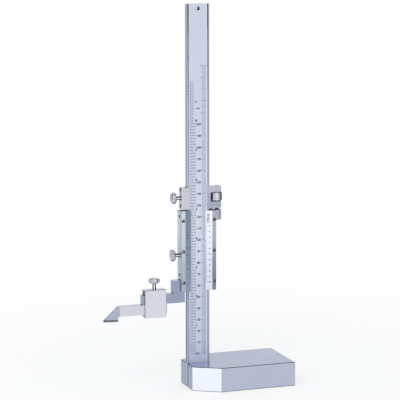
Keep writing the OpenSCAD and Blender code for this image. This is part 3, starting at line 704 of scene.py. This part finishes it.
def make_thread_tree():
    """A closed screw thread along +Z from the origin: a cylinder whose wall follows a helix."""
    tree, gin, gout = group_tree(
        "screw_thread", "GeometryNodeTree",
        {"Radius": "Float", "Depth": "Float", "Pitch": "Float", "Length": "Float", "Rings": "Int", "Sides": "Int",
         "Material": "Material"},
        {"Geometry": "Geometry"})
    tube = tree.nodes.new("GeometryNodeMeshCylinder")
    tube.fill_type = "NGON"
    link(tree, gin.outputs["Sides"], tube.inputs["Vertices"])
    link(tree, gin.outputs["Rings"], tube.inputs["Side Segments"])
    link(tree, gin.outputs["Radius"], tube.inputs["Radius"])
    link(tree, gin.outputs["Length"], tube.inputs["Depth"])
    place = tree.nodes.new("GeometryNodeInputPosition")
    split = tree.nodes.new("ShaderNodeSeparateXYZ")
    link(tree, place.outputs[0], split.inputs[0])
    turn = math_node(tree, "DIVIDE", math_node(tree, "ARCTAN2", split.outputs["Y"], split.outputs["X"]), 2 * math.pi)
    turns = math_node(tree, "DIVIDE", split.outputs["Z"], gin.outputs["Pitch"])
    phase = math_node(tree, "FRACT", math_node(tree, "SUBTRACT", turns, turn))
    ridge = math_node(tree, "ABSOLUTE", math_node(tree, "SUBTRACT", math_node(tree, "MULTIPLY", phase, 2.0), 1.0))
    cut = math_node(tree, "MULTIPLY", ridge, gin.outputs["Depth"])
    kept = math_node(tree, "SUBTRACT", 1.0, math_node(tree, "DIVIDE", cut, gin.outputs["Radius"]))
    join = tree.nodes.new("ShaderNodeCombineXYZ")
    for label in ("X", "Y"):
        link(tree, math_node(tree, "MULTIPLY", split.outputs[label], kept), join.inputs[label])
    half = math_node(tree, "MULTIPLY", gin.outputs["Length"], 0.5)
    link(tree, math_node(tree, "ADD", split.outputs["Z"], half), join.inputs["Z"])
    move = tree.nodes.new("GeometryNodeSetPosition")
    link(tree, tube.outputs["Mesh"], move.inputs["Geometry"])
    link(tree, join.outputs[0], move.inputs["Position"])
    painted(tree, move.outputs["Geometry"], gin, gout)
    return tree


RULING = make_ruling_tree()
THREAD = make_thread_tree()


def grown_mesh(name, tree, values):
    """The plain mesh that a Geometry Nodes tree makes with these inputs."""
    seed = bpy.data.objects.new(name + "_seed", bpy.data.meshes.new(name + "_seed"))
    bpy.context.scene.collection.objects.link(seed)
    modifier = seed.modifiers.new("grow", "NODES")
    modifier.node_group = tree
    for item in tree.interface.items_tree:
        if item.item_type == "SOCKET" and item.in_out == "INPUT" and item.name in values:
            modifier[item.identifier] = values[item.name]
    bpy.context.view_layer.update()
    seen = seed.evaluated_get(bpy.context.evaluated_depsgraph_get())
    mesh = bpy.data.meshes.new_from_object(seen)
    seed.modifiers.remove(modifier)
    bpy.data.objects.remove(seed)
    mesh.name = name
    return mesh


def ruled_mesh(name, count, spacing, lengths, every, width, long_width):
    """Inked lines. lengths are short, middle and long, and every says how often the middle and long ones come."""
    return grown_mesh(name, RULING, {
        "Count": count, "Spacing": spacing, "Short": lengths[0], "Mid": lengths[1], "Long": lengths[2],
        "Mid Every": every[0], "Long Every": every[1], "Width": width, "Long Width": long_width,
        "Thickness": 2 * LINE_H, "Material": line_ink})


def thread_mesh(name, radius, length):
    mesh = grown_mesh(name, THREAD, {
        "Radius": radius, "Depth": THREAD_DEPTH, "Pitch": THREAD_PITCH, "Length": length,
        "Rings": int(length / THREAD_PITCH * RINGS_A_TURN), "Sides": SHAFT_SIDES, "Material": thread_steel})
    for face in mesh.polygons:
        face.use_smooth = len(face.vertices) == 4
    return mesh


def lathe_mesh(name, rings, sides, material, radius_at=None):
    """A closed solid turned about +Z. rings are (height, radius); radius_at may change a radius round the axis."""
    build = bmesh.new()
    loops = []
    for height, radius in rings:
        loop = []
        for i in range(sides):
            angle = 2 * math.pi * i / sides
            r = radius_at(angle, radius) if radius_at else radius
            loop.append(build.verts.new((r * math.cos(angle), r * math.sin(angle), height)))
        loops.append(loop)
    for low, high in zip(loops, loops[1:]):
        for i in range(sides):
            j = (i + 1) % sides
            build.faces.new((low[i], low[j], high[j], high[i]))
    build.faces.new(list(reversed(loops[0])))
    build.faces.new(loops[-1])
    for face in build.faces:
        face.smooth = len(face.verts) == 4
    mesh = bpy.data.meshes.new(name)
    build.to_mesh(mesh)
    build.free()
    mesh.materials.append(material)
    return mesh


def joined_mesh(name, meshes):
    """One mesh with the faces and materials of several."""
    whole = bmesh.new()
    materials = []
    for mesh in meshes:
        before = len(whole.faces)
        whole.from_mesh(mesh)
        whole.faces.ensure_lookup_table()
        for face in whole.faces[before:]:
            material = mesh.materials[face.material_index]
            if material not in materials:
                materials.append(material)
            face.material_index = materials.index(material)
    result = bpy.data.meshes.new(name)
    whole.to_mesh(result)
    whole.free()
    for material in materials:
        result.materials.append(material)
    return result


def piece(name, mesh, body):
    """A finished piece at the origin that moves with its body."""
    o = bpy.data.objects.new(name, mesh)
    bpy.context.scene.collection.objects.link(o)
    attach(o, body)
    return o


def axes_matrix(x_axis, y_axis, z_axis, origin):
    """Takes a shape drawn on its own X, Y and Z to these directions and this origin."""
    return Matrix.Translation(origin) @ Matrix((x_axis, y_axis, z_axis)).transposed().to_4x4()


def text_mesh(words, height, align="CENTER", narrow=1.0, bold=TEXT_BOLD):
    """Words in the X-Y plane, centred in height, as a closed solid half above and half below it."""
    curve = bpy.data.curves.new("words", "FONT")
    curve.body = words
    curve.size = height / FONT_H
    curve.align_x = align
    curve.extrude = LINE_H
    curve.offset = bold * height
    curve.resolution_u = 3
    o = bpy.data.objects.new("words", curve)
    bpy.context.scene.collection.objects.link(o)
    bpy.context.view_layer.update()
    mesh = bpy.data.meshes.new_from_object(o.evaluated_get(bpy.context.evaluated_depsgraph_get()))
    bpy.data.objects.remove(o)
    ys = [v.co.y for v in mesh.vertices]
    mesh.transform(Matrix.Diagonal((narrow, 1, 1, 1)) @ Matrix.Translation((0, -(min(ys) + max(ys)) / 2, 0)))
    mesh.materials.clear()
    mesh.materials.append(number_ink)
    return mesh


RIGHT, UP, FRONT = Vector((1, 0, 0)), Vector((0, 0, 1)), Vector((0, -1, 0))
# Bars are drawn along X and stacked along Z, and words along X with Y up
RULED = (RIGHT, -FRONT, UP)
WRITTEN = (RIGHT, UP, FRONT)


def on_face(x, rise):
    """A point on the mast's scale face, rise above the scales' zero."""
    return Vector((mast_x + x, face_y, scale_zero_z + rise))


# ---------------------------------------------------------------- scales on the mast

mm_lines = ruled_mesh("mast_mm_lines", MM_LAST + 1, MM, MM_LINES, (5, 10), LINE_W, LONG_LINE_W)
mm_lines.transform(axes_matrix(-RIGHT, FRONT, UP, on_face(MM_RIGHT, 0)))
piece("mast_mm_lines", mm_lines, "stand")

inch_lines = ruled_mesh("mast_inch_lines", INCH_LAST_FORTIETH + 1, INCH / 40, INCH_LINES, (2, 4), FINE_LINE_W,
                        LONG_LINE_W)
inch_lines.transform(axes_matrix(*RULED, on_face(INCH_LEFT, 0)))
piece("mast_inch_lines", inch_lines, "stand")


def words_on_face(words, x, rise, height):
    mesh = text_mesh(words, height)
    mesh.transform(axes_matrix(*WRITTEN, on_face(x, rise)))
    return mesh


mm_numbers = [words_on_face(str(n), MM_NUMBER_X, n * MM, MM_NUMBER_H) for n in range(0, MM_NUMBER_LAST + 1, 10)]
mm_numbers.append(words_on_face("mm", *MM_MARK, UNIT_H))
piece("mast_mm_numbers", joined_mesh("mast_mm_numbers", mm_numbers), "stand")

inch_numbers = [words_on_face(str(n), INCH_NUMBER_X, n * INCH, INCH_NUMBER_H) for n in range(INCH_NUMBER_LAST + 1)]
for whole in range(INCH_NUMBER_LAST):
    for tenth in range(1, 10):
        inch_numbers.append(words_on_face(str(tenth), TENTH_NUMBER_X, (whole + tenth / 10) * INCH, TENTH_H))
inch_numbers.append(words_on_face("in", *INCH_MARK, UNIT_H))
piece("mast_inch_numbers", joined_mesh("mast_inch_numbers", inch_numbers), "stand")


# ---------------------------------------------------------------- vernier plates

def plate_slope(low, high, side):
    """The slope of a vernier plate: its thin edge, the direction up the slope, and its outward normal.

    side is +1 for the plate to the right of the mast and -1 for the one to the left."""
    edge_x = low.x if side > 0 else high.x
    flat_x = high.x - PLATE_FLAT_W if side > 0 else low.x + PLATE_FLAT_W
    edge = Vector((edge_x, high.y - PLATE_EDGE_T, vernier_zero_z))
    crest = Vector((flat_x, low.y, vernier_zero_z))
    rising = (crest - edge).normalized()
    normal = rising.cross(UP) if side > 0 else UP.cross(rising)
    return edge, rising, normal.normalized()


def dress_plate(prefix, low, high, side, count, division, line_w, labels, labels_out, bold, note, note_out,
                note_rise, note_h, note_narrow=1.0):
    """Lines, numbers and the reading of a vernier plate. The reading, its note, is read upwards.

    Each out is a distance up the slope from the plate's thin edge."""
    edge, rising, normal = plate_slope(low, high, side)
    lines = ruled_mesh(prefix + "_lines", count + 1, division, (VERNIER_SHORT, VERNIER_LONG, VERNIER_LONG),
                       (NUMBER_EVERY, NUMBER_EVERY), line_w, line_w)
    across = normal if side < 0 else -normal
    lines.transform(axes_matrix(rising, across, UP, edge + rising * VERNIER_LINE_IN))
    lines.update()
    piece(prefix + "_lines", lines, "slider")
    right = rising * side
    words = []
    for i, label in enumerate(labels):
        mesh = text_mesh(label, VERNIER_NUMBER_H, bold=bold)
        mesh.transform(axes_matrix(right, UP, normal, edge + rising * labels_out + UP * (i * NUMBER_EVERY * division)))
        words.append(mesh)
    mesh = text_mesh(note, note_h, "LEFT", note_narrow, bold / 2)
    mesh.transform(axes_matrix(UP, -right, normal, edge + rising * note_out + UP * note_rise))
    words.append(mesh)
    piece(prefix + "_numbers", joined_mesh(prefix + "_numbers", words), "slider")


dress_plate("metric_vernier", metric_low, metric_high, side=1, count=METRIC_DIVISIONS, division=METRIC_DIVISION,
            line_w=0.12 * MM, labels=[str(n % 10) for n in range(11)], labels_out=3.7 * MM, bold=0.05,
            note="0.02mm", note_out=2.2 * MM, note_rise=51.4 * MM, note_h=2.5 * MM, note_narrow=0.72)
dress_plate("inch_vernier", inch_low, inch_high, side=-1, count=INCH_DIVISIONS, division=INCH_DIVISION,
            line_w=LINE_W, labels=[str(n) for n in range(0, 26, NUMBER_EVERY)], labels_out=3.9 * MM, bold=0,
            note="0.001in", note_out=3.6 * MM, note_rise=38.5 * MM, note_h=1.5 * MM)


# ---------------------------------------------------------------- lock screws and adjusting screw

# Outline of a knob from its back to its face: shares of its height and of its radius
KNOB_OUTLINE = [(0, 0.3), (0.02, 0.55), (0.09, 0.76), (0.2, 0.91), (0.34, 0.985), (0.5, 1), (0.64, 0.995),
                (0.78, 0.95), (0.89, 0.875), (0.96, 0.79), (0.99, 0.68), (1, 0.45), (1, 0.08)]


def scalloped(angle, radius):
    """The hollows round a knob: each is a shallow arc about a centre outside the rim."""
    turn = 2 * math.pi / KNOB_HOLLOWS
    off = (angle + turn / 2) % turn - turn / 2
    centre = KNOB_R + HOLLOW_OUT
    inside = HOLLOW_R ** 2 - (centre * math.sin(off)) ** 2
    if inside <= 0:
        return radius
    return min(radius, centre * math.cos(off) - math.sqrt(inside))


def knob_screw(name, node, body, axis, beside, turned, shaft_finish):
    """A lock screw for a CAD node: threaded end, plain shaft and scalloped knob along axis, from the pad outwards.

    beside is a node whose middle lies on the screw's axis, and turned is how far the knob is turned."""
    low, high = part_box(node)
    middle = sum(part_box(beside), Vector()) / 2
    start = Vector([high[i] if axis[i] < 0 else low[i] if axis[i] > 0 else middle[i] for i in range(3)])
    length = sum(abs(axis[i]) * (high[i] - low[i]) for i in range(3))
    shaft = length - KNOB_H
    threaded = shaft - LOCK_PLAIN
    thread = thread_mesh(name + "_thread", LOCK_R, threaded)
    ends = (threaded - SHAFT_OVERLAP, threaded, shaft + 2 * SHAFT_OVERLAP, shaft + 3 * SHAFT_OVERLAP)
    plain_part = lathe_mesh(name + "_plain", [(end, LOCK_R) for end in ends], SHAFT_SIDES, shaft_finish)
    rings = [(height * KNOB_H, radius * KNOB_R) for height, radius in KNOB_OUTLINE]
    knob = lathe_mesh(name + "_knob", rings, KNOB_SIDES, polished_steel, scalloped)
    knob.transform(Matrix.Rotation(turned, 4, "Z"))
    knob.transform(Matrix.Translation((0, 0, shaft)))
    whole = joined_mesh(name, [thread, plain_part, knob])
    across = Vector((0, 1, 0))
    whole.transform(axes_matrix(across, Vector(axis).cross(across), Vector(axis), start))
    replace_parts(piece(name, whole, body), node)


knob_screw("slider_knob_screw", "slider_lock_screw", "slider_lock", axis=(-1, 0, 0), beside="slider_lock_pad",
           turned=0.2, shaft_finish=level_shaft_steel)
knob_screw("clamp_knob_screw", "clamp_lock_screw", "clamp_lock", axis=(-1, 0, 0), beside="clamp_lock_pad",
           turned=0.5, shaft_finish=level_shaft_steel)
knob_screw("scriber_knob_screw", "scriber_lock_screw", "scriber_lock", axis=(0, 0, 1), beside="scriber_box",
           turned=0.1, shaft_finish=upright_shaft_steel)

fine_low, fine_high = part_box("fine_screw")
fine_middle = (fine_low + fine_high) / 2
fine_thread = thread_mesh("adjusting_screw", (fine_high.x - fine_low.x) / 2, fine_high.z - fine_low.z)
fine_thread.transform(Matrix.Translation((fine_middle.x, fine_middle.y, fine_low.z)))
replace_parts(piece("adjusting_screw", fine_thread, "slider"), "fine_screw")


# ---------------------------------------------------------------- plate screws

def half_dome(finish):
    """Half of a domed screw head, beside its slot along X, as a closed solid."""
    build = bmesh.new()
    r = PLATE_SCREW_HEAD_R
    start = math.asin((PLATE_SLOT_W / 2 + DOME_FROM_SLOT) / r)
    top = []
    for i in range(DOME_COLUMNS + 1):
        angle = start + (math.pi - 2 * start) * i / DOME_COLUMNS
        x, rim_y = r * math.cos(angle), r * math.sin(angle)
        column = []
        for row in DOME_ROWS:
            y = PLATE_SLOT_W / 2 + (rim_y - PLATE_SLOT_W / 2) * row
            out = min(math.hypot(x, y), r)
            z = PLATE_SCREW_RIM + (PLATE_SCREW_CROWN - PLATE_SCREW_RIM) * (1 - (out / r) ** 2)
            past = max(0.0, out - (r - PLATE_SCREW_ROUND)) / PLATE_SCREW_ROUND
            z -= DOME_ROUND_DROP * PLATE_SCREW_ROUND * (1 - math.sqrt(1 - past ** 2))
            column.append(build.verts.new((x, y, max(z, PLATE_SLOT_RISE + DOME_OVER_SLOT_FLOOR))))
        top.append(column)
    for a, b in zip(top, top[1:]):
        for j in range(len(DOME_ROWS) - 1):
            build.faces.new((a[j], a[j + 1], b[j + 1], b[j])).smooth = True
    edge = ([column[0] for column in top] + top[-1][1:] + [column[-1] for column in reversed(top[:-1])]
            + list(reversed(top[0][1:-1])))
    low = [build.verts.new((v.co.x, v.co.y, DOME_UNDERSIDE)) for v in edge]
    for i in range(len(edge)):
        j = (i + 1) % len(edge)
        build.faces.new((edge[i], edge[j], low[j], low[i]))
    build.faces.new(low)
    bmesh.ops.recalc_face_normals(build, faces=build.faces)
    mesh = bpy.data.meshes.new("half_dome")
    build.to_mesh(mesh)
    build.free()
    mesh.materials.append(finish)
    return mesh


def plate_screws(name, node, finish):
    """Three domed screws with slots, in place of a CAD node; each slot is turned a little further."""
    low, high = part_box(node)
    seat = low.y + PLATE_SCREW_CROWN
    middle = (low + high) / 2
    heights = (low.z + PLATE_SCREW_HEAD_R, middle.z, high.z - PLATE_SCREW_HEAD_R)
    parts = []
    for z, turn in zip(heights, PLATE_SCREW_TURNS):
        disc = lathe_mesh("disc", [(end, PLATE_SCREW_HEAD_R) for end in (0, PLATE_SLOT_RISE)],
                          PLATE_DISC_SIDES, finish)
        shaft = lathe_mesh("shaft", [(end, PLATE_SCREW_SHAFT_R) for end in (seat - high.y, PLATE_SHAFT_OVERLAP)],
                           PLATE_SHAFT_SIDES, finish)
        halves = [half_dome(finish), half_dome(finish)]
        halves[1].transform(Matrix.Rotation(math.pi, 4, "Z"))
        screw = joined_mesh("screw", [disc, shaft] + halves)
        screw.transform(Matrix.Rotation(math.radians(turn), 4, "Z"))
        screw.transform(axes_matrix(*WRITTEN, Vector((middle.x, seat, z))))
        parts.append(screw)
    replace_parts(piece(name, joined_mesh(name, parts), "slider"), node)


plate_screws("metric_plate_domed_screws", "metric_plate_screws", dark_screw_steel)
plate_screws("inch_plate_domed_screws", "inch_plate_screws", browned_steel)


# ---------------------------------------------------------------- stage

def seen_rays(tree):
    """Light Path's Is Camera Ray, and a value that is 1 for it and for what metal and glass show."""
    rays = tree.nodes.new("ShaderNodeLightPath").outputs
    shown = math_node(tree, "ADD", rays["Is Camera Ray"], rays["Is Glossy Ray"])
    return rays["Is Camera Ray"], math_node(tree, "ADD", shown, rays["Is Transmission Ray"], clamp=True)


FLOOR_R = 0.9
# The floor's own pale tone, with the shadow on it, fades to plain white between these distances from the gauge.
# Right under it the white already takes this share.
FADE_START, FADE_END = 0.08, 0.6
WHITE_SHARE = 0.62


def make_floor():
    bpy.ops.mesh.primitive_circle_add(vertices=128, radius=FLOOR_R, fill_type="NGON", location=(0, 0, 0))
    floor = bpy.context.object
    floor.name = "floor"
    m = bpy.data.materials.new("pale_floor")
    m.use_nodes = True
    tree = m.node_tree
    shader = tree.nodes["Principled BSDF"]
    shader.inputs["Base Color"].default_value = (0.86, 0.87, 0.88, 1)
    shader.inputs["Roughness"].default_value = 0.9
    shader.inputs["Specular IOR Level"].default_value = 0.2
    out = tree.nodes["Material Output"]
    white = tree.nodes.new("ShaderNodeEmission")
    far = vector_math(tree, "LENGTH", object_place(tree))
    fade = map_range(tree, far, FADE_START, FADE_END, WHITE_SHARE, 1.0)
    mix = tree.nodes.new("ShaderNodeMixShader")
    link(tree, math_node(tree, "MULTIPLY", seen_rays(tree)[1], fade), mix.inputs[0])
    link(tree, shader.outputs[0], mix.inputs[1])
    link(tree, white.outputs[0], mix.inputs[2])
    link(tree, mix.outputs[0], out.inputs["Surface"])
    floor.data.materials.append(m)


# Cards and flags on the white backdrop, for what the steel shows: azimuth and elevation of the middle
# (azimuth 0 is the front, +90 the right), half-width of the even part, half-width with the soft edge,
# and how much lighter or darker it is than the backdrop
STUDIO = [
    (-50, 0, 14, 32, 0.7),
    (3, -3, 3, 15, -0.42),
    (62, 0, 18, 40, -0.9),
    (-108, 0, 14, 32, -0.85),
    (112, 0, 14, 34, -0.7),
    (-160, 5, 20, 60, -0.26),
    (0, 90, 25, 55, -0.45),
]
STUDIO_DARKEST, STUDIO_BRIGHTEST = 0.02, 4.0
ROOM_LEVEL = 0.86


def direction(azimuth, elevation):
    a, e = math.radians(azimuth), math.radians(elevation)
    return (math.sin(a) * math.cos(e), -math.cos(a) * math.cos(e), math.sin(e))


def make_world():
    world = bpy.context.scene.world or bpy.data.worlds.new("studio")
    bpy.context.scene.world = world
    world.use_nodes = True
    tree = world.node_tree
    tree.nodes.clear()
    out = tree.nodes.new("ShaderNodeOutputWorld")
    way = tree.nodes.new("ShaderNodeTexCoord").outputs["Generated"]
    camera_ray, shown = seen_rays(tree)
    level = 1.0
    for azimuth, elevation, inner, outer, gain in STUDIO:
        toward = vector_math(tree, "DOT_PRODUCT", way, direction(azimuth, elevation))
        lobe = map_range(tree, toward, math.cos(math.radians(outer)), math.cos(math.radians(inner)))
        level = math_node(tree, "ADD", math_node(tree, "MULTIPLY", lobe, gain), level)
    level = math_node(tree, "MAXIMUM", level, STUDIO_DARKEST)
    # The camera sees the plain white backdrop without its cards and flags
    level = math_node(tree, "MAXIMUM", level, camera_ray)
    brightest = map_range(tree, camera_ray, 0, 1, STUDIO_BRIGHTEST, 1.0, smooth=False)
    level = math_node(tree, "MINIMUM", level, brightest)
    backdrop = tree.nodes.new("ShaderNodeBackground")
    backdrop.inputs["Color"].default_value = (1, 1, 1, 1)
    link(tree, level, backdrop.inputs["Strength"])
    room = tree.nodes.new("ShaderNodeBackground")
    room.inputs["Color"].default_value = (0.97, 0.985, 1.0, 1)
    room.inputs["Strength"].default_value = ROOM_LEVEL
    mix = tree.nodes.new("ShaderNodeMixShader")
    link(tree, shown, mix.inputs[0])
    link(tree, room.outputs[0], mix.inputs[1])
    link(tree, backdrop.outputs[0], mix.inputs[2])
    link(tree, mix.outputs[0], out.inputs["Surface"])


def softbox(name, place, aim, size, watts):
    lamp = bpy.data.lights.new(name, "AREA")
    lamp.shape = "SQUARE"
    lamp.size = size
    lamp.energy = watts
    o = bpy.data.objects.new(name, lamp)
    bpy.context.scene.collection.objects.link(o)
    o.location = place
    o.rotation_euler = (Vector(aim) - Vector(place)).to_track_quat("-Z", "Y").to_euler()


CAMERA_LENS = 175.3
CAMERA_AZIMUTH, CAMERA_ELEVATION, CAMERA_ROLL = -19.519, 9.079, -0.084
CAMERA_DISTANCE = 1671.19 * MM
CAMERA_TARGET = Vector((-32.535, 0, 163.735)) * MM


def make_camera():
    data = bpy.data.cameras.new("camera")
    data.lens = CAMERA_LENS
    data.sensor_width = 36
    data.clip_start, data.clip_end = 0.05, 30
    o = bpy.data.objects.new("camera", data)
    bpy.context.scene.collection.objects.link(o)
    o.rotation_euler = (Euler((math.radians(90 - CAMERA_ELEVATION), 0, math.radians(CAMERA_AZIMUTH)), "XYZ").to_matrix()
                        @ Matrix.Rotation(math.radians(CAMERA_ROLL), 3, "Z")).to_euler()
    o.location = CAMERA_TARGET + Vector(direction(CAMERA_AZIMUTH, CAMERA_ELEVATION)) * CAMERA_DISTANCE
    bpy.context.scene.camera = o


make_floor()
make_world()
softbox("key", place=(-0.9, -1.3, 1.5), aim=(0, 0, 0.12), size=0.9, watts=14)
make_camera()
bpy.context.scene.view_settings.view_transform = "Standard"
